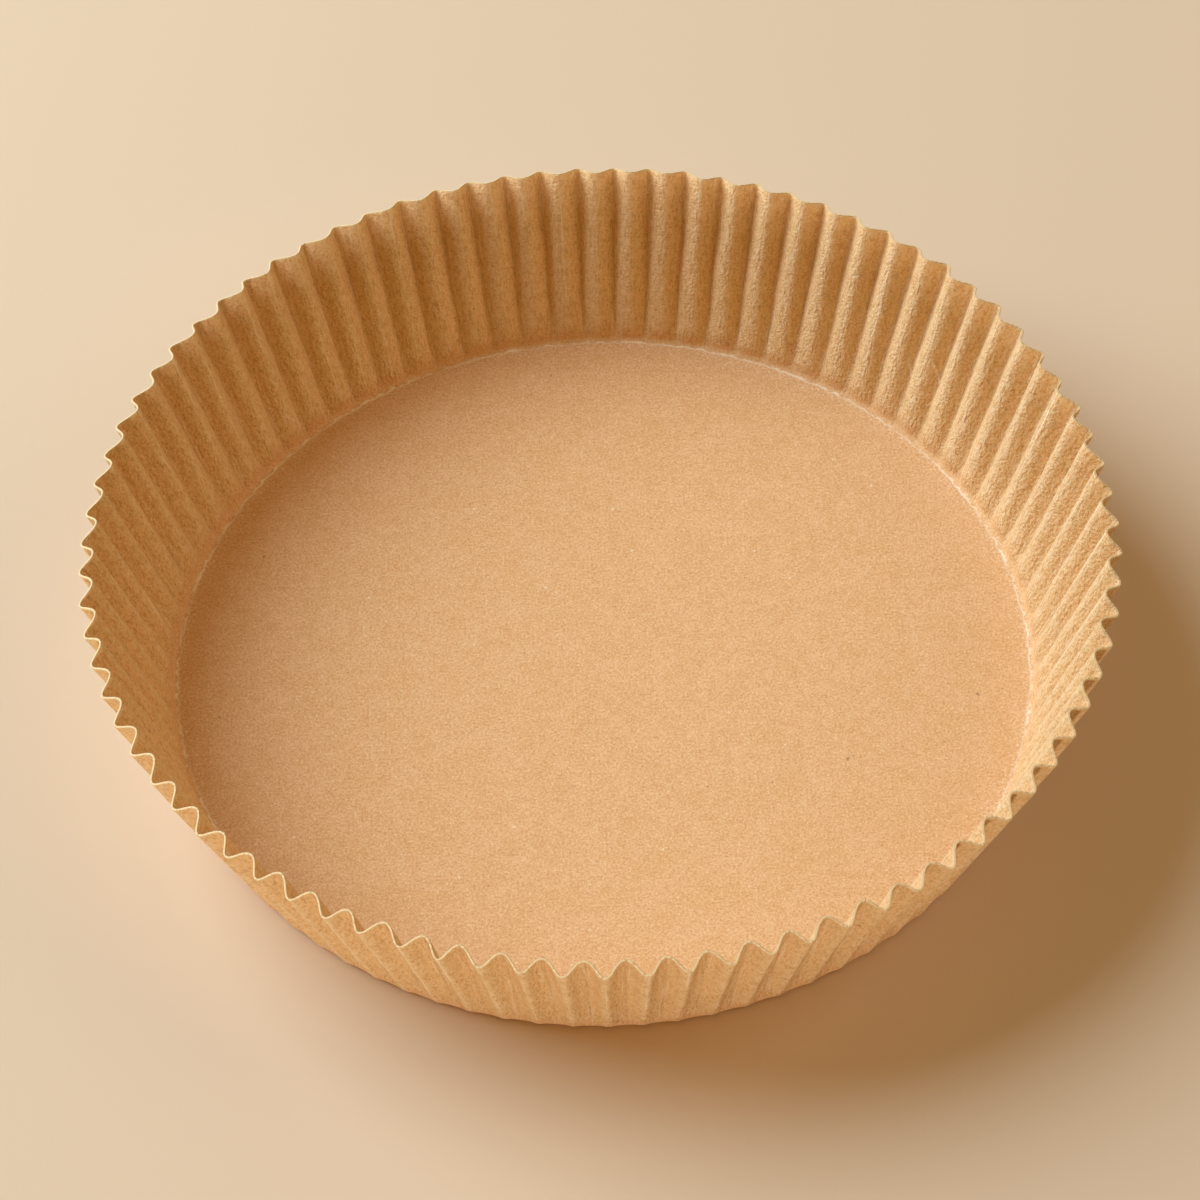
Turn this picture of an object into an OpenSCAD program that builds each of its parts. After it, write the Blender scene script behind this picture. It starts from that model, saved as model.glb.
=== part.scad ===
// Round paper liner with a flat base and a fluted wall, pressed from one flat disc of paper.
// Paper doesn't shrink, so what is spare in the wall goes into flutes: they open at the fold line
// and are deepest at the rim. The cut edge was a circle on the disc, so it zigzags in and up.
// Origin at the centre of the base's underside, +Z up, outward fold number 0 towards +X.

/* [Base] */
// Diameter of the flat base, across the fold line where the wall starts
base_d = 200; // [150:2:226]
// Inside radius of the bend between the base and the wall
heel_r = 2; // [1:0.5:5]

/* [Wall] */
// Diameter of the rim across the outward folds
rim_d = 236; // [210:2:290]
// Height of the rim at the outward folds
rim_h = 45; // [25:1:80]

/* [Flutes] */
// Number of flutes round the wall
flutes = 83; // [40:1:110]
// Depth of a flute at the rim, square to the wall
rim_depth = 3.6; // [1:0.1:5]
// Depth of a flute at the foot of the wall, where the bend ends
foot_depth = 1.2; // [0.2:0.1:2]
// Share of a flute's width that is bent at each fold, where the rest is flat
fold_share = 0.26; // [0.1:0.02:0.44]
// How much further up the wall the inward folds reach, as they cut the corner at the bend
fold_lead = 0.6; // [0:0.1:2]

/* [Paper] */
// Thickness of the paper
paper_t = 0.5; // [0.1:0.05:0.8]

/* [Hidden] */
kraft = "#C99C66";

// The paper's middle line at an outward fold: a bend of bend_r, then a straight run to the rim
base_r = base_d / 2;
bend_r = heel_r + paper_t / 2;
rim_out = rim_d / 2 - paper_t / 2 - base_r;
rim_up = rim_h - paper_t / 2 - bend_r;
run_len = sqrt(pow(rim_out, 2) + pow(rim_up, 2) - pow(bend_r, 2));
wall_a = atan2(rim_up, rim_out) + atan2(bend_r, run_len);
bend_len = bend_r * wall_a * PI / 180;

// Width of the side in the flat disc, from the fold line to the cut edge
side_w = bend_len + run_len;
blank_d = base_d + 2 * side_w;

// Where rings of points lie: shares of the bend, then of the straight run
bend_rings = [0, 0.5];
run_rings = [0, 0.12, 0.42, 1];
rings = concat(bend_rings * bend_len, [for (k = run_rings) bend_len + k * run_len]);

// Where points lie across one flute: 0 is the outward fold and 0.5 the inward one
fold_half = fold_share / 2;
flute_steps = [0, fold_half, 0.5 - fold_half, 0.5, 0.5 + fold_half, 1 - fold_half];
columns = [for (k = [0:flutes - 1], u = flute_steps) k + u];
nudge = 0.01;

echo(str("flat disc diameter ", blank_d, " mm, wall leans out ", 90 - wall_a, " degrees"));

// Angle of an outward fold from the floor, at the distance s from the fold line along the paper
function lean(s) = min(s / bend_r * 180 / PI, wall_a);

// Radius and height of an outward fold at s
function outward_fold(s) =
    let (a = lean(s), run = max(s - bend_len, 0))
    [base_r + bend_r * sin(a) + run * cos(a), paper_t / 2 + bend_r * (1 - cos(a)) + run * sin(a)];

// Depth of a flute at s: it opens along the bend, then its square grows with the paper to spare
function depth(s) =
    let (run = max(s - bend_len, 0) / run_len)
    let (square = pow(foot_depth, 2) * (1 - run) + pow(rim_depth, 2) * run)
    min(s / bend_len, 1) * sqrt(max(square, 0));

// Zigzag with rounded folds: 0 on the outward fold, 1 on the inward one
function zigzag(u) =
    let (v = 1 - abs(2 * (u - floor(u)) - 1), c = fold_share)
    let (w = v < c ? (c + v * v / c) / 2 : v > 1 - c ? 1 - (c + pow(1 - v, 2) / c) / 2 : v)
    (w - c / 2) / (1 - c);

// Point on the paper's middle surface, with u counted in flutes round the wall
function middle(s, u) =
    let (v = zigzag(u), q = s + v * fold_lead * lean(s) / wall_a)
    let (p = outward_fold(q), a = lean(q), h = v * depth(s))
    let (r = p[0] - h * sin(a), az = 360 * u / flutes)
    [r * cos(az), r * sin(az), p[1] + h * cos(a)];

// Direction square to the paper, outwards and, on the base, down
function square_to(s, u) =
    let (across = middle(s, u + nudge) - middle(s, u - nudge))
    let (along = middle(s + nudge, u) - middle(s - nudge, u))
    let (n = cross(across, along))
    s == 0 ? [0, 0, -1] : n / norm(n);

// One ring of points on a face of the paper: side is -1 inside and 1 outside
function ring(s, side) = [for (u = columns) middle(s, u) + square_to(s, u) * side * paper_t / 2];

// Triangles of the band between ring a and ring b, each numbered from 0
function band(a, b) =
    let (n = len(columns))
    [for (i = [0:n - 1]) let (j = (i + 1) % n)
        each [[a * n + i, b * n + j, b * n + i], [a * n + i, a * n + j, b * n + j]]];

function disc(a, up) =
    let (n = len(columns))
    [[for (i = [0:n - 1]) a * n + (up ? n - 1 - i : i)]];

// The whole liner is one sheet: inside face up from the base, over the cut edge, outside face down
module liner() {
    last = len(rings) - 1;
    inside = [for (s = rings) each ring(s, -1)];
    outside = [for (k = [last:-1:0]) each ring(rings[k], 1)];
    walls = [for (k = [0:2 * last]) each band(k, k + 1)];
    color(kraft)
        polyhedron(concat(inside, outside), concat(disc(0, true), walls, disc(2 * last + 1, false)));
}

liner();
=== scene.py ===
import math

import bpy
import numpy as np
from mathutils import Matrix, Quaternion, Vector, noise


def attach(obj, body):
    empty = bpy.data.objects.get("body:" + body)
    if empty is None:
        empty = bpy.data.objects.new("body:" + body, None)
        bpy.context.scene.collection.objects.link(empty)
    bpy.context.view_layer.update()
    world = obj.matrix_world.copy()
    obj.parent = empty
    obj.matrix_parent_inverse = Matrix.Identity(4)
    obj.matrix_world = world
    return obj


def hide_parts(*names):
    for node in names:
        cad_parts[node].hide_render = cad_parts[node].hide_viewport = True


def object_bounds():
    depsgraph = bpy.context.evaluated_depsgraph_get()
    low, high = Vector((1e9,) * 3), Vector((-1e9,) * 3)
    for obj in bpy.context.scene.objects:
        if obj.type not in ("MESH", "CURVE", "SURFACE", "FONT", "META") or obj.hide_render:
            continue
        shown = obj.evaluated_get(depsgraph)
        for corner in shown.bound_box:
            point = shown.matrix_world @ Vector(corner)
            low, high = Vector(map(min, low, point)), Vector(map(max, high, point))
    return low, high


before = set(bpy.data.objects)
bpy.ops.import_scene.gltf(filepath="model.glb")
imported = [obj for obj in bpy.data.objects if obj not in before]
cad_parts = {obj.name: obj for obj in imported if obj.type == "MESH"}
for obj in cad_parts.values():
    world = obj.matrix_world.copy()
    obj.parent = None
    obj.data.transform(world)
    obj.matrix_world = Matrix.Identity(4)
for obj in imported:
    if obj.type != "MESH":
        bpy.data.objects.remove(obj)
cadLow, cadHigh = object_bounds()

scene = bpy.context.scene
mm = 0.001
print("frame loaded, liner box", [round(v, 4) for v in (*cadLow, *cadHigh)])


def linearColour(hexText):
    parts = [int(hexText[i:i + 2], 16) / 255 for i in (1, 3, 5)]
    return [p / 12.92 if p <= 0.04045 else ((p + 0.055) / 1.055) ** 2.4 for p in parts] + [1.0]


def addNode(tree, kind, inputs=None, **settings):
    node = tree.nodes.new(kind)
    for name, value in settings.items():
        setattr(node, name, value)
    for name, value in (inputs or {}).items():
        if isinstance(value, bpy.types.NodeSocket):
            tree.links.new(value, node.inputs[name])
        else:
            node.inputs[name].default_value = value
    return node


# Camera: a long lens looking down at the liner from its front, turned a little off the middle
cameraSetup = dict(
    distance=947.5 * mm,  # from the middle of the base
    around=-0.25, elevation=52.5,  # degrees, anticlockwise from the front and above the floor
    turn=0.02, tilt=0.87, roll=1.82,  # degrees off the line to the middle of the base
    lens=120.7, sensor=36.0,  # mm
    nearest=0.05, furthest=20.0,  # m, what the camera sees
)


def makeCamera(setup):
    data = bpy.data.cameras.new("camera")
    data.lens, data.sensor_width, data.sensor_fit = setup["lens"], setup["sensor"], "HORIZONTAL"
    data.clip_start, data.clip_end = setup["nearest"], setup["furthest"]
    camera = bpy.data.objects.new("camera", data)
    scene.collection.objects.link(camera)
    around, rise = math.radians(setup["around"]), math.radians(setup["elevation"])
    right = Vector((math.cos(around), math.sin(around), 0))
    toCamera = Vector((right.y * math.cos(rise), -right.x * math.cos(rise), math.sin(rise)))
    place = toCamera * setup["distance"]
    ahead = -place.normalized()
    up = right.cross(ahead)
    swing = Quaternion(up, math.radians(setup["turn"]))
    ahead, right = swing @ ahead, swing @ right
    nod = Quaternion(right, math.radians(setup["tilt"]))
    ahead, up = nod @ ahead, nod @ up
    bank = Quaternion(ahead, math.radians(setup["roll"]))
    right, up = bank @ right, bank @ up
    turnMatrix = Matrix((right, up, -ahead)).transposed()
    camera.matrix_world = Matrix.LocRotScale(place, turnMatrix.to_quaternion(), None)
    scene.camera = camera


makeCamera(cameraSetup)
print("camera made")

# Studio: a big round softbox at the left, weak reflectors at the right and in front, and a pale floor in a
# warm room. turn and rise are in degrees, anticlockwise from the right and above the floor, size and
# distance in m, and level is the brightness of white paper on the floor from that lamp alone
studio = dict(
    lamps=(
        dict(name="softboxLeft", turn=156, rise=41, distance=2.0, size=1.8, level=1.0, colour="#E1F3FF"),
        dict(name="reflectorRight", turn=5, rise=40, distance=2.0, size=1.2, level=0.125, colour="#FFECDC"),
        dict(name="reflectorFront", turn=258, rise=2, distance=2.0, size=0.2, level=0.013, colour="#FFF4E8"),
    ),
    surroundLevel=0.245, surroundColour="#FFD268",  # the light from the room
    backdropLevel=1.0, backdropColour="#EFE2D0",  # what the camera sees of it
    floorColour="#DEC5AA", floorRoughness=0.9,
    floorSide=5.0,  # m
    floorDrop=0.05 * mm,  # how far the floor lies below the paper
)


def makeStudio(setup):
    for given in setup["lamps"]:
        turn, rise = math.radians(given["turn"]), math.radians(given["rise"])
        toLamp = Vector((math.cos(turn) * math.cos(rise), math.sin(turn) * math.cos(rise), math.sin(rise)))
        data = bpy.data.lights.new(given["name"], "AREA")
        data.shape, data.size = "DISK", given["size"]
        data.color = linearColour(given["colour"])[:3]
        data.energy = math.pi ** 2 * given["distance"] ** 2 * given["level"] / toLamp.z
        lamp = bpy.data.objects.new(given["name"], data)
        lamp.location = toLamp * given["distance"]
        lamp.rotation_mode = "QUATERNION"
        lamp.rotation_quaternion = toLamp.to_track_quat("Z", "Y")
        scene.collection.objects.link(lamp)

    world = bpy.data.worlds.new("surround")
    world.use_nodes = True
    tree = world.node_tree
    tree.nodes.clear()
    path = addNode(tree, "ShaderNodeLightPath")
    light = addNode(tree, "ShaderNodeBackground", {
        "Color": linearColour(setup["surroundColour"]), "Strength": setup["surroundLevel"]})
    shown = addNode(tree, "ShaderNodeBackground", {
        "Color": linearColour(setup["backdropColour"]), "Strength": setup["backdropLevel"]})
    mixed = addNode(tree, "ShaderNodeMixShader", {
        0: path.outputs["Is Camera Ray"], 1: light.outputs[0], 2: shown.outputs[0]})
    addNode(tree, "ShaderNodeOutputWorld", {"Surface": mixed.outputs[0]})
    scene.world = world

    half = setup["floorSide"] / 2
    corners = [(-half, -half, 0), (half, -half, 0), (half, half, 0), (-half, half, 0)]
    mesh = bpy.data.meshes.new("floor")
    mesh.from_pydata(corners, [], [(0, 1, 2, 3)])
    floor = bpy.data.objects.new("floor", mesh)
    floor.location.z = -setup["floorDrop"]
    scene.collection.objects.link(floor)
    paint = bpy.data.materials.new("mattEmulsionFloor")
    paint.use_nodes = True
    paintSurface = paint.node_tree.nodes["Principled BSDF"]
    paintSurface.inputs["Base Color"].default_value = linearColour(setup["floorColour"])
    paintSurface.inputs["Roughness"].default_value = setup["floorRoughness"]
    mesh.materials.append(paint)


makeStudio(studio)
print("floor and light made")

# Unbleached greaseproof kraft paper: hard-beaten pulp, calendered and pressed in a fluted die. To the eye it
# is a warm even tan with a faint cloud, a fine grain, a few shives and specks, and no shine. Where a fold
# has strained the fibres it is paler. The colour also holds painted shade inside the folds, painted
# highlights on and beside the crests, and a cut edge that is paler partly from its fibres and partly from a
# painted highlight. Sizes are in mm. Each step gives the two values between which a mark fades in, of a
# noise unless its note says otherwise, and To Max is its full strength
kraft = dict(
    # noise on the flat disc: its size, and the node's own settings
    flatNoise=dict(
        cloud=(9.0, {"Detail": 2.0}),
        blotch=(2.4, {"Detail": 2.0, "Roughness": 0.6}),
        # the real fibres are about 0.03 mm wide and wouldn't show, so the grain is drawn coarser
        grain=(0.52, {"Detail": 2.0, "Roughness": 0.65, "Distortion": 0.4}),
        peel=(0.7, {"Detail": 1.5}),
        kinks=(2.4, {"Detail": 1.0}),
        cockle=(5.0, {"Detail": 1.0}),
    ),
    # noise drawn out up the wall: its size across and along, and its detail
    drawnNoise=dict(
        crinkle=(0.7, 2.6, 1.5),
        fibre=(0.4, 1.8, 2.0),
        streak=(2.5, 22.0, 1.0),
        hair=(0.5, 14.0, 0.0),
    ),
    # pulp, and the paler tone that the hot die leaves on the wall
    deeper="#E1AE7A", paler="#E5B383", wallTone="#E9C48E",
    cloudStep={"From Min": 0.38, "From Max": 0.62},
    dieStep={"From Min": 0.0, "From Max": 6.0},  # mm up the wall
    # grain, from both the grain and a share of the blotch
    grainDark="#D19862", grainLight="#F0C99B", blotchShare=0.25,
    hollowStep={"From Min": 0.63, "From Max": 0.42, "To Max": 0.95},
    topStep={"From Min": 0.62, "From Max": 0.83, "To Max": 0.95},
    # shives, which are dark slivers of bark, and pale specks of loose fibre. Each cell of a pattern draws a
    # number up to 1 and holds a fleck only where it is more than rarity, bigger the more it is
    flecks=(
        dict(colour="#8E6238", spacing=8.0, size=0.55, strength=0.55, rarity=0.55),
        dict(colour="#F8E3C4", spacing=4.2, size=0.42, strength=0.6, rarity=0.45),
    ),
    # strained fibres: a pale line where the wall starts, which strays up and down and comes and goes. The
    # same pale colour paints the highlights on and beside the crests
    paleStrainAndHighlight="#FFECD2",
    strayStep={"From Min": 0.3, "From Max": 0.7, "To Min": -0.2, "To Max": 0.6},  # To is mm up the wall
    foldLineStep={"From Min": 0.408, "From Max": 0.102},  # mm from the line
    fadedStep={"From Min": 0.4, "From Max": 0.6, "To Min": 0.45},
    brokenStep={"From Min": 0.36, "From Max": 0.56, "To Min": 0.4, "To Max": 0.85},
    # and pale specks beside it on the base
    besideStep={"From Min": -4.0, "From Max": -0.5}, specksEnd=0.6,  # mm up the wall
    speckleStep={"From Min": 0.53, "From Max": 0.7, "To Max": 0.5},
    # the wall: painted shade inside the folds, in a colour that also darkens fine fibre streaks
    foldShadeAndFibreDark="#BE9054",
    foldShadeStep={"From Min": -0.6, "From Max": -0.97, "To Max": 0.4},  # side of the fold
    upWallStep={"From Min": 0.5, "From Max": 4.0},  # mm up the wall
    fibreDarkStep={"From Min": 0.48, "From Max": 0.32, "To Max": 0.45},
    fibreLightStep={"From Min": 0.52, "From Max": 0.7, "To Max": 0.45},
    # painted highlights: paler on the crest of a fold and in patches beside it; and pale hairlines inside
    # the fold
    crestHighlightStep={"From Min": 0.88, "From Max": 0.97},  # side of the fold
    crestHighlightStreakStep={"From Min": 0.48, "From Max": 0.66, "To Min": 0.12, "To Max": 0.6},
    besideCrestHighlightStep={"From Min": 0.1, "From Max": 0.8},  # side of the fold
    highlightPatchStep={"From Min": 0.42, "From Max": 0.62, "To Max": 0.2},
    inFoldStep={"From Min": -0.1, "From Max": -0.4},  # side of the fold
    hairStep={"From Min": 0.6, "From Max": 0.7, "To Max": 0.24},
    # hair creases, each from one place to another: fold number from +X, and mm up the wall
    creases=(
        (9.0, 20.5, 9.3, 25.0), (9.95, 17.0, 10.2, 21.0), (7.3, 15.0, 7.5, 19.5), (31.2, 8.0, 31.5, 11.0)),
    creaseStep={"From Min": 0.45, "From Max": 0.15}, creaseShare=0.5,  # mm from the crease
    creaseLift=0.5,  # middle of the noise that bends a crease
    # the cut edge and a band below it are paler: partly the cut fibres' own colour, partly a painted
    # highlight along the rim
    cutEdgeAndRimHighlight="#F0D0A0", edgeWidth=0.7,
    # relief
    cockleHeight=0.12, creaseHeight=0.05, peelHeight=0.42, grainHeight=0.09,
    grainReliefStep={"From Min": 0.5, "From Max": 4.0, "To Min": 0.35},  # mm up the wall
    # shine and light
    roughness={"To Min": 0.66, "To Max": 0.8}, ior=1.5, gloss=0.35,
    lightThrough=0.06, lightReach=(1.4, 1.1, 0.8),  # share of light that goes into the paper, and how far
)


def makeKraft(look):
    material = bpy.data.materials.new("greaseproofKraftPaperPressed")
    material.use_nodes = True
    tree = material.node_tree
    surface = tree.nodes["Principled BSDF"]

    # flatDisc holds each point's place on the flat disc in mm, so the pulp runs on through every fold.
    # onWall holds mm up the wall from the fold line, the side of the fold, from 1 on its outside to -1 on
    # its inside, and how near the point is to the cut edge. roundWall holds the place round the wall and mm
    # up it
    flatDisc, onWall, roundWall = [
        addNode(tree, "ShaderNodeAttribute", attribute_name=name).outputs["Vector"]
        for name in ("flatDisc", "onWall", "roundWall")]
    wall = addNode(tree, "ShaderNodeSeparateXYZ", {0: onWall})
    wallHeight, foldSide, nearEdge = wall.outputs["X"], wall.outputs["Y"], wall.outputs["Z"]

    pulp = {}
    for name, (size, settings) in look["flatNoise"].items():
        pulp[name] = addNode(tree, "ShaderNodeTexNoise", {"Vector": flatDisc, "Scale": 1 / size, **settings})
    drawn = {}
    for name, (across, along, detail) in look["drawnNoise"].items():
        stretched = addNode(tree, "ShaderNodeVectorMath", {
            0: roundWall, 1: (1 / across, 1 / across, 1 / along)}, operation="MULTIPLY")
        drawn[name] = addNode(tree, "ShaderNodeTexNoise", {
            "Vector": stretched.outputs[0], "Scale": 1.0, "Detail": detail})
    cloud, blotch, grain, peel = [pulp[name].outputs["Fac"] for name in ("cloud", "blotch", "grain", "peel")]

    cloudAmount = addNode(tree, "ShaderNodeMapRange", {"Value": cloud, **look["cloudStep"]})
    clouded = addNode(tree, "ShaderNodeMix", {
        0: cloudAmount.outputs[0], 6: linearColour(look["deeper"]), 7: linearColour(look["paler"])},
        data_type="RGBA")
    dieAmount = addNode(tree, "ShaderNodeMapRange", {"Value": wallHeight, **look["dieStep"]})
    tint = addNode(tree, "ShaderNodeMix", {
        0: dieAmount.outputs[0], 6: clouded.outputs[2], 7: linearColour(look["wallTone"])}, data_type="RGBA")

    # grain: darker in its hollows and lighter on its tops
    grainLevel = addNode(tree, "ShaderNodeMath", {0: blotch, 1: look["blotchShare"], 2: grain},
                         operation="MULTIPLY_ADD")
    colour = tint.outputs[2]
    for step, paint in (("hollowStep", "grainDark"), ("topStep", "grainLight")):
        amount = addNode(tree, "ShaderNodeMapRange", {"Value": grainLevel.outputs[0], **look[step]})
        colour = addNode(tree, "ShaderNodeMix", {
            0: amount.outputs[0], 6: colour, 7: linearColour(look[paint])}, data_type="RGBA").outputs[2]

    # the grain's colour is noise too, and bends the outlines of flecks and creases
    bent = addNode(tree, "ShaderNodeVectorMath", {0: flatDisc, 1: pulp["grain"].outputs["Color"]},
                   operation="ADD")
    for fleck in look["flecks"]:
        cell = addNode(tree, "ShaderNodeTexVoronoi", {
            "Vector": bent.outputs[0], "Scale": 1 / fleck["spacing"]})
        own = addNode(tree, "ShaderNodeSeparateXYZ", {0: cell.outputs["Color"]})
        reach = addNode(tree, "ShaderNodeMapRange", {
            "Value": own.outputs["X"], "From Min": fleck["rarity"], "From Max": 1.0,
            "To Max": fleck["size"] / fleck["spacing"]})
        within = addNode(tree, "ShaderNodeMath", {0: cell.outputs["Distance"], 1: reach.outputs[0]},
                         operation="LESS_THAN")
        amount = addNode(tree, "ShaderNodeMath", {0: within.outputs[0], 1: fleck["strength"]},
                         operation="MULTIPLY")
        colour = addNode(tree, "ShaderNodeMix", {
            0: amount.outputs[0], 6: colour, 7: linearColour(fleck["colour"])}, data_type="RGBA").outputs[2]

    # the wall's marks: painted shade inside the folds, and fibre streaks
    # painted shade inside each fold, darkest at its inner bend
    paintedFoldShade = addNode(tree, "ShaderNodeMapRange", {"Value": foldSide, **look["foldShadeStep"]})
    colour = addNode(tree, "ShaderNodeMix", {
        0: paintedFoldShade.outputs[0], 6: colour, 7: linearColour(look["foldShadeAndFibreDark"])}, data_type="RGBA").outputs[2]
    upWall = addNode(tree, "ShaderNodeMapRange", {"Value": wallHeight, **look["upWallStep"]})
    for step, paint in (("fibreDarkStep", "foldShadeAndFibreDark"), ("fibreLightStep", "grainLight")):
        fibre = addNode(tree, "ShaderNodeMapRange", {"Value": drawn["fibre"].outputs["Fac"], **look[step]})
        amount = addNode(tree, "ShaderNodeMath", {0: fibre.outputs[0], 1: upWall.outputs[0]},
                         operation="MULTIPLY")
        colour = addNode(tree, "ShaderNodeMix", {
            0: amount.outputs[0], 6: colour, 7: linearColour(look[paint])}, data_type="RGBA").outputs[2]

    # strain: the line where the wall starts
    stray = addNode(tree, "ShaderNodeMapRange", {"Value": pulp["kinks"].outputs["Fac"], **look["strayStep"]})
    fromLine = addNode(tree, "ShaderNodeMath", {0: wallHeight, 1: stray.outputs[0]}, operation="SUBTRACT")
    offLine = addNode(tree, "ShaderNodeMath", {0: fromLine.outputs[0]}, operation="ABSOLUTE")
    foldLine = addNode(tree, "ShaderNodeMapRange", {"Value": offLine.outputs[0], **look["foldLineStep"]})
    onBase = addNode(tree, "ShaderNodeMath", {0: wallHeight, 1: look["specksEnd"]}, operation="LESS_THAN")

    # strain: hair creases on the wall, as straight lines between two places that the grain bends
    creased = None
    for foldFrom, upFrom, foldTo, upTo in look["creases"]:
        ends = []
        for fold, up in ((foldFrom, upFrom), (foldTo, upTo)):
            turn, reach = 2 * math.pi * fold / liner["flutes"], liner["baseDiameter"] / 2 + up
            ends.append(Vector((reach * math.cos(turn), reach * math.sin(turn), look["creaseLift"])))
        line = ends[1] - ends[0]
        fromEnd = addNode(tree, "ShaderNodeVectorMath", {0: bent.outputs[0], 1: ends[0]},
                          operation="SUBTRACT")
        along = addNode(tree, "ShaderNodeVectorMath", {0: fromEnd.outputs[0], 1: line / line.length_squared},
                        operation="DOT_PRODUCT")
        held = addNode(tree, "ShaderNodeClamp", {0: along.outputs["Value"]})
        nearest = addNode(tree, "ShaderNodeVectorMath", {0: line, "Scale": held.outputs[0]},
                          operation="SCALE")
        off = addNode(tree, "ShaderNodeVectorMath", {0: fromEnd.outputs[0], 1: nearest.outputs[0]},
                      operation="DISTANCE")
        one = addNode(tree, "ShaderNodeMapRange", {"Value": off.outputs["Value"], **look["creaseStep"]})
        creased = one.outputs[0] if creased is None else addNode(
            tree, "ShaderNodeMath", {0: creased, 1: one.outputs[0]}, operation="MAXIMUM").outputs[0]

    # each kind of pale mark, strain or painted highlight, is where it may be times what breaks it up, and
    # the strongest kind shows
    fade = {}
    for step, value in (
            ("fadedStep", cloud), ("brokenStep", blotch), ("besideStep", wallHeight), ("speckleStep", peel),
            ("besideCrestHighlightStep", foldSide), ("highlightPatchStep", blotch),
            ("inFoldStep", foldSide), ("hairStep", drawn["hair"].outputs["Fac"]),
            ("crestHighlightStep", foldSide), ("crestHighlightStreakStep", drawn["streak"].outputs["Fac"])):
        fade[step] = addNode(tree, "ShaderNodeMapRange", {"Value": value, **look[step]}).outputs[0]
    kinds = (
        (foldLine.outputs[0], fade["fadedStep"], fade["brokenStep"]),
        (fade["besideStep"], fade["speckleStep"], onBase.outputs[0]),
        # painted highlight in patches beside the crest
        (fade["besideCrestHighlightStep"], fade["highlightPatchStep"]),
        (fade["inFoldStep"], fade["hairStep"]),
        # painted highlight along the crest
        (fade["crestHighlightStep"], fade["crestHighlightStreakStep"]),
        (creased, look["creaseShare"]),
    )
    paleStrainAndHighlightAmount = None
    for amount, *others in kinds:
        for other in others:
            amount = addNode(tree, "ShaderNodeMath", {0: amount, 1: other}, operation="MULTIPLY").outputs[0]
        paleStrainAndHighlightAmount = amount if paleStrainAndHighlightAmount is None else addNode(
            tree, "ShaderNodeMath", {0: paleStrainAndHighlightAmount, 1: amount}, operation="MAXIMUM").outputs[0]
    # the pale colour: strained fibres, and the painted highlights on and beside the crests
    paleStrainAndHighlight = addNode(tree, "ShaderNodeMix", {
        0: paleStrainAndHighlightAmount, 6: colour, 7: linearColour(look["paleStrainAndHighlight"])}, data_type="RGBA")
    # the cut edge is paler, partly from its own fibres and partly from a painted highlight along the rim
    edged = addNode(tree, "ShaderNodeMix", {
        0: nearEdge, 6: paleStrainAndHighlight.outputs[2], 7: linearColour(look["cutEdgeAndRimHighlight"])}, data_type="RGBA")
    tree.links.new(edged.outputs[2], surface.inputs["Base Color"])

    # relief, each kind on the one before: a soft cockle from drying, the fold line and creases, the crinkles
    # and orange peel that the die leaves on the wall, and the grain, which stands up more there than on the
    # base
    raised = addNode(tree, "ShaderNodeMath", {0: foldLine.outputs[0], 1: creased}, operation="MAXIMUM")
    creped = addNode(tree, "ShaderNodeMath", {0: drawn["crinkle"].outputs["Fac"], 1: peel}, operation="ADD")
    peelOnWall = addNode(tree, "ShaderNodeMath", {0: creped.outputs[0], 1: upWall.outputs[0]},
                         operation="MULTIPLY")
    grainRelief = addNode(tree, "ShaderNodeMapRange", {"Value": wallHeight, **look["grainReliefStep"]})
    grainRaised = addNode(tree, "ShaderNodeMath", {0: grain, 1: grainRelief.outputs[0]},
                          operation="MULTIPLY")
    bump = {"Strength": 1.0}
    for height, distance in (
            (pulp["cockle"].outputs["Fac"], "cockleHeight"), (raised.outputs[0], "creaseHeight"),
            (peelOnWall.outputs[0], "peelHeight"), (grainRaised.outputs[0], "grainHeight")):
        bump.update({"Height": height, "Distance": look[distance] * mm})
        bump["Normal"] = addNode(tree, "ShaderNodeBump", bump).outputs[0]
    tree.links.new(bump["Normal"], surface.inputs["Normal"])

    dull = addNode(tree, "ShaderNodeMapRange", {"Value": blotch, **look["roughness"]})
    tree.links.new(dull.outputs[0], surface.inputs["Roughness"])
    for name, value in (
            ("IOR", look["ior"]), ("Specular IOR Level", look["gloss"]),
            ("Subsurface Weight", look["lightThrough"]), ("Subsurface Radius", look["lightReach"]),
            ("Subsurface Scale", mm)):
        surface.inputs[name].default_value = value
    return material


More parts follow.
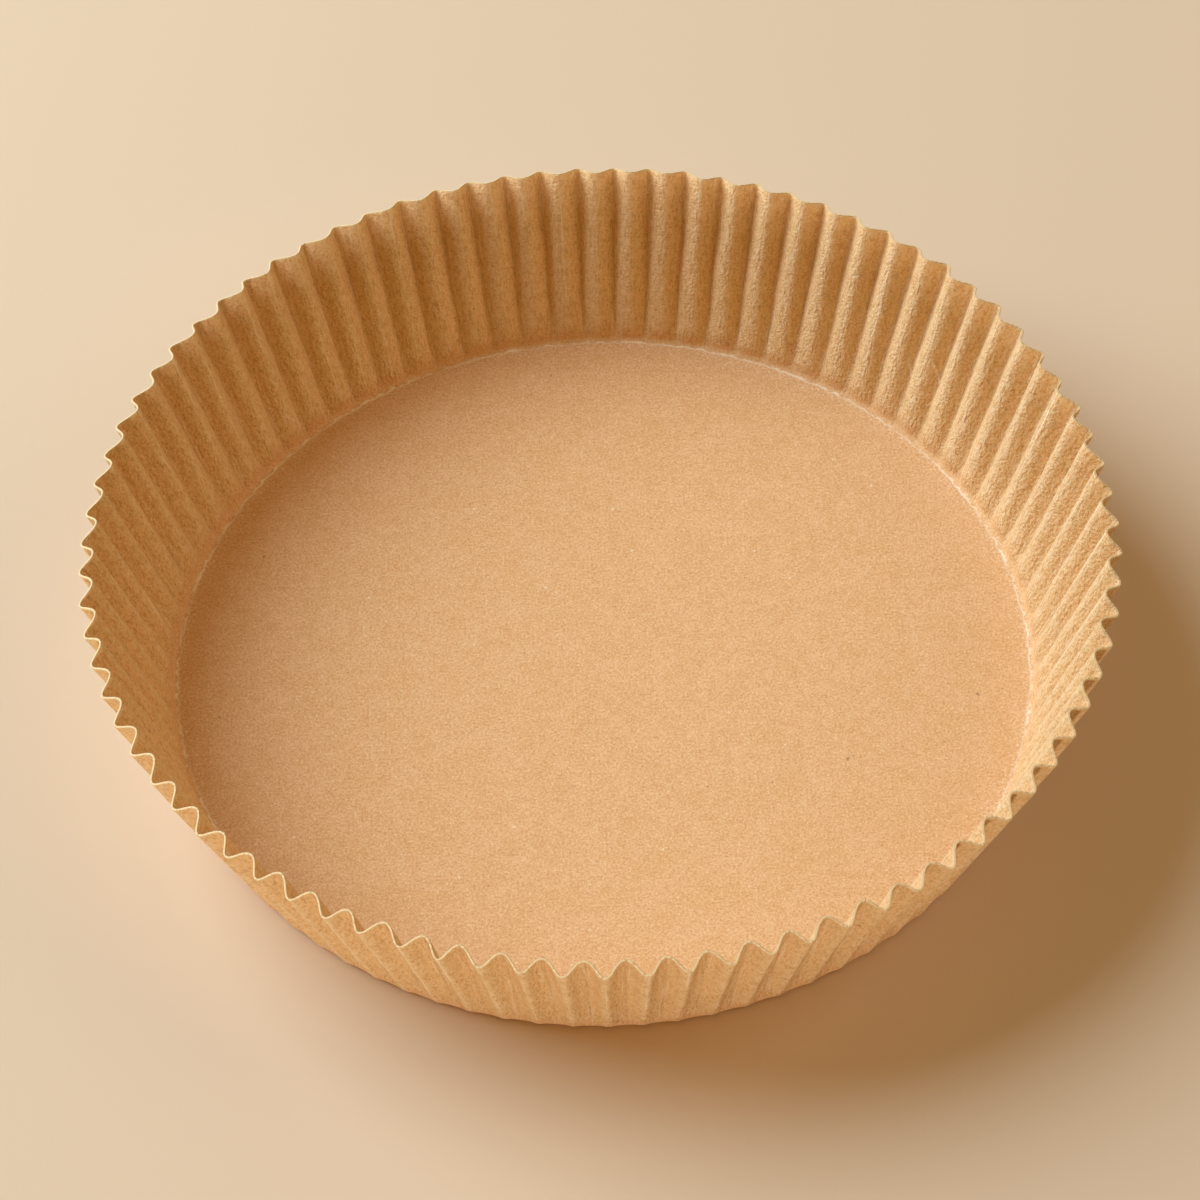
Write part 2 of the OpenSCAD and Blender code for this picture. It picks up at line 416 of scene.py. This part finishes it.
# The liner in mm, as the part is built, with the small unevenness that a pressed paper has. Each fold draws
# its own values, and they run straight to the next fold's
liner = dict(
    baseDiameter=200.0, heelRadius=2.0, rimHeight=45.0, flutes=83, paper=0.5,
    rimDepth=3.6, footDepth=1.0,  # depth of a flute at the rim and at the foot
    openLength=4.2,  # how far up the wall a flute has opened
    outwardShare=(0.2, 0.3), inwardShare=(0.65, 0.48),  # of half a flute, bent at a fold, low and at the rim
    shareGrowth=3,  # power of the height by which those shares change
    foldLead=0.6,  # how much further up the wall the inward folds reach
    stepsPerFlute=16, stepCrowding=0.4,  # points across a flute, and how far they crowd at its outward fold
    baseRings=(0.12, 0.3, 0.5, 0.7, 0.85, 0.94, 0.98),  # shares of the base's radius
    bendRings=6, wallRings=15, wallCrowding=1.25,  # rings on bend and wall, closer at the wall's foot
    rimRings=(1.6, 0.9, 0.4, 0.0),  # distance from the cut edge
    edgeRings=((-0.7, 0.3), (0.0, 0.42), (0.7, 0.3)),  # across and up the cut edge, in half thicknesses
    seed=83,
    foldShift=0.018, mostShift=0.11,  # spread and limit along the wall, in flutes
    shiftAtFoot=0.25,  # share of that shift at the foot
    foldSwell=0.12, bowShare=0.5,  # spread out of the wall at the rim, and the share of it halfway up
    rimStep=0.15,  # spread up the wall at the rim
    foldWaver=0.014, waverPlaces=8,  # spread along the wall, in flutes, at places on the way up
    waverEase=8.0,  # distance from foot and rim where it is at full strength
    outOfRound=0.35, roundLobes=(2, 3, 5), mostPhase=6.28,  # how far the rim is out of round, in what waves
    outOfRoundGrowth=1.5,  # power of the height by which it grows
    panelBuckle=0.08, buckleSize=4.5, bucklePlane=3.1,  # depth and size of the buckles, plane of the noise
    buckleEase=4.0,  # height where they are at full depth
    foldSideEase=8.0,  # height where a fold's marks are at full strength
    undersidePulp=40.0,  # how far off in the pulp's noise the outside face lies
)


kraftPaper = makeKraft(kraft)
print("paper material made")


def outwardFold(s, size):
    angle = np.clip(s / size["bend"], 0, size["wallAngle"])
    run = np.maximum(s - size["bendLength"], 0)
    radius = size["baseRadius"] + np.minimum(s, 0) + size["bend"] * np.sin(angle) + run * np.cos(angle)
    height = size["paper"] / 2 + size["bend"] * (1 - np.cos(angle)) + run * np.sin(angle)
    return radius, height, angle


def zigzag(u, outward, inward):
    v = 1 - np.abs(2 * (u % 1) - 1)
    rounded = np.where(v < outward, (outward + v * v / outward) / 2, v)
    rounded = np.where(v > 1 - inward, 1 - (inward + (1 - v) ** 2 / inward) / 2, rounded)
    return (rounded - outward / 2) / (1 - outward / 2 - inward / 2)


def squareTo(points):
    across = np.roll(points, -1, 1) - np.roll(points, 1, 1)
    along = np.gradient(points, axis=0)
    square = np.cross(across, along)
    return [v / np.linalg.norm(v, axis=-1, keepdims=True) for v in (square, along)]


def makeLiner(given):
    size = dict(given)
    size["baseRadius"] = given["baseDiameter"] / 2
    size["bend"] = given["heelRadius"] + given["paper"] / 2
    rimOut = cadHigh.x / mm - given["paper"] / 2 - size["baseRadius"]
    rimUp = given["rimHeight"] - given["paper"] / 2 - size["bend"]
    runLength = math.sqrt(rimOut ** 2 + rimUp ** 2 - size["bend"] ** 2)
    size["wallAngle"] = math.atan2(rimUp, rimOut) + math.atan2(size["bend"], runLength)
    size["bendLength"] = size["bend"] * size["wallAngle"]
    sideWidth = size["bendLength"] + runLength

    rng = np.random.default_rng(given["seed"])
    flutes, steps = given["flutes"], given["stepsPerFlute"]
    columns = flutes * steps
    # columns of points stand closer together near the outward folds, which are the sharper ones
    u = np.arange(columns) / steps
    u = u - given["stepCrowding"] * np.sin(2 * np.pi * u) / (2 * np.pi)
    # rings of points by their distance up the wall along the paper, less than 0 on the base
    onBase = [(share - 1) * size["baseRadius"] for share in given["baseRings"]]
    onBend = list(np.linspace(0, 1, given["bendRings"], endpoint=False) * size["bendLength"])
    spread = np.linspace(0, 1, given["wallRings"]) ** given["wallCrowding"]
    onRun = list(size["bendLength"] + (runLength - given["rimRings"][0]) * spread)
    onRun += [sideWidth - fromRim for fromRim in given["rimRings"][1:]]
    s = np.array(onBase + onBend + onRun)[:, None]
    wallShare = np.clip(s / sideWidth, 0, 1)
    folds = np.arange(2 * flutes + 1)

    # each fold stands a little off its place
    def perFold(spread):
        values = rng.normal(0, spread, 2 * flutes)
        return np.interp(2 * u, folds, np.append(values, values[0]))[None, :]

    shift = np.clip(perFold(given["foldShift"]), -given["mostShift"], given["mostShift"])
    swell = perFold(given["foldSwell"])
    rimStep = perFold(given["rimStep"])
    bow = perFold(given["foldSwell"])

    outwardShare, inwardShare = [
        low + (high - low) * wallShare ** given["shareGrowth"]
        for low, high in (given["outwardShare"], given["inwardShare"])]
    v = zigzag(u[None, :], outwardShare, inwardShare)
    run = np.clip((s - size["bendLength"]) / runLength, 0, 1)
    opened = np.clip(s / given["openLength"], 0, 1)
    depth = opened ** 2 * (3 - 2 * opened) * np.sqrt(
        given["footDepth"] ** 2 * (1 - run) + given["rimDepth"] ** 2 * run)
    q = s + v * given["foldLead"] * np.clip(s / size["bendLength"], 0, 1) + rimStep * wallShare
    radius, height, angle = outwardFold(q, size)
    # and wavers a little on its way up: values at places up the wall, drawn straight between them
    places = given["waverPlaces"]
    atPlaces = rng.normal(0, given["foldWaver"], (places, 2 * flutes))
    atPlaces = np.concatenate([atPlaces, atPlaces[:, :1]], 1)
    placeRow = wallShare[:, 0] * (places - 1)
    lowRow = np.minimum(placeRow.astype(int), places - 2)
    aboveLow = (placeRow - lowRow)[:, None]
    atFolds = atPlaces[lowRow] * (1 - aboveLow) + atPlaces[lowRow + 1] * aboveLow
    waver = np.array([np.interp(2 * u, folds, row) for row in atFolds])
    waver = waver * np.clip(s / given["waverEase"], 0, 1)
    waver = waver * np.clip((sideWidth - s) / given["waverEase"], 0, 1)
    shiftShare = given["shiftAtFoot"] + (1 - given["shiftAtFoot"]) * wallShare
    azimuth = 2 * np.pi * (u[None, :] + shift * shiftShare + waver) / flutes
    wide = sum(
        given["outOfRound"] / k * np.cos(k * azimuth + rng.uniform(0, given["mostPhase"]))
        for k in given["roundLobes"])
    bowed = bow * np.sin(np.pi * wallShare) * given["bowShare"]
    square = v * depth - swell * wallShare - bowed - wide * wallShare ** given["outOfRoundGrowth"]
    radius = radius - square * np.sin(angle)
    height = height + square * np.cos(angle)
    middle = np.stack([radius * np.cos(azimuth), radius * np.sin(azimuth), height], -1)

    # panels between folds buckle by less than a tenth of a millimetre
    outwards, upwards = squareTo(middle)
    flatRadius = size["baseRadius"] + s + 0 * u[None, :]
    flatAngle = 2 * np.pi * u[None, :] / flutes + 0 * s
    flatX, flatY = flatRadius * np.cos(flatAngle), flatRadius * np.sin(flatAngle)
    buckle = np.array([
        noise.noise(Vector((x / given["buckleSize"], y / given["buckleSize"], given["bucklePlane"])))
        for x, y in zip(flatX.ravel(), flatY.ravel())])
    buckle = buckle.reshape(flatX.shape) * given["panelBuckle"] * np.clip(s / given["buckleEase"], 0, 1)
    middle = middle + outwards * buckle[..., None]
    outwards, upwards = squareTo(middle)

    half = given["paper"] / 2
    inner, outer = middle - outwards * half, middle + outwards * half
    # the cut edge is a little round
    edge = [middle[-1] + outwards[-1] * half * side + upwards[-1] * half * lift
            for side, lift in given["edgeRings"]]
    rings = [*inner, *edge, *outer[::-1]]
    ringWall = [*s[:, 0], *[sideWidth] * len(edge), *s[::-1, 0]]
    edgeFirst = len(inner)

    points = np.concatenate(rings + [[[0, 0, given["paper"]], [0, 0, 0]]])
    n = columns
    faces = []
    for k in range(len(rings) - 1):
        low, high = k * n, (k + 1) * n
        faces += [(low + i, high + i, high + (i + 1) % n, low + (i + 1) % n) for i in range(n)]
    topMiddle, underMiddle, last = len(points) - 2, len(points) - 1, (len(rings) - 1) * n
    faces += [(i, (i + 1) % n, topMiddle) for i in range(n)]
    faces += [(last + (i + 1) % n, last + i, underMiddle) for i in range(n)]

    mesh = bpy.data.meshes.new("linerPaper")
    mesh.from_pydata((points * mm).tolist(), [], faces)
    mesh.validate()
    flatDisc, wallFacts, roundWall = [np.zeros((len(points), 3)) for _ in range(3)]
    a = 2 * np.pi * u / flutes
    for k, ring in enumerate(ringWall):
        here = slice(k * n, (k + 1) * n)
        inside, onEdge = k < edgeFirst, edgeFirst <= k < edgeFirst + len(edge)
        foldSide = (1 - 2 * np.abs(2 * (u % 1) - 1)) * (1 if inside else -1)
        foldSide = foldSide * np.clip(ring / given["foldSideEase"], 0, 1)
        # a band below the cut edge: partly paler fibres, partly a painted rim highlight
        nearEdge = 1.0 if onEdge else 0.5 * np.clip(1 - (sideWidth - ring) / kraft["edgeWidth"], 0, 1)
        r = size["baseRadius"] + ring
        pulpDepth = 0 if inside else given["undersidePulp"]
        flatDisc[here] = np.stack([r * np.cos(a), r * np.sin(a), np.full(n, pulpDepth)], -1)
        wallFacts[here] = np.stack([np.full(n, ring), foldSide, np.full(n, nearEdge)], -1)
        roundWall[here] = np.stack([
            size["baseRadius"] * np.cos(a), size["baseRadius"] * np.sin(a), np.full(n, ring)], -1)
    wallFacts[-2:, 0] = -size["baseRadius"]
    for name, values in (("flatDisc", flatDisc), ("onWall", wallFacts), ("roundWall", roundWall)):
        mesh.attributes.new(name, "FLOAT_VECTOR", "POINT").data.foreach_set("vector", values.ravel())
    mesh.shade_smooth()
    mesh.materials.append(kraftPaper)
    piece = bpy.data.objects.new("linerPaper", mesh)
    scene.collection.objects.link(piece)
    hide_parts("liner")
    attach(piece, "root")
    print("liner made:", len(points), "points,", sum(len(f) - 2 for f in faces), "triangles, flat disc",
          round(2 * (size["baseRadius"] + sideWidth), 1), "mm across")


makeLiner(liner)

scene.view_settings.view_transform = "Standard"
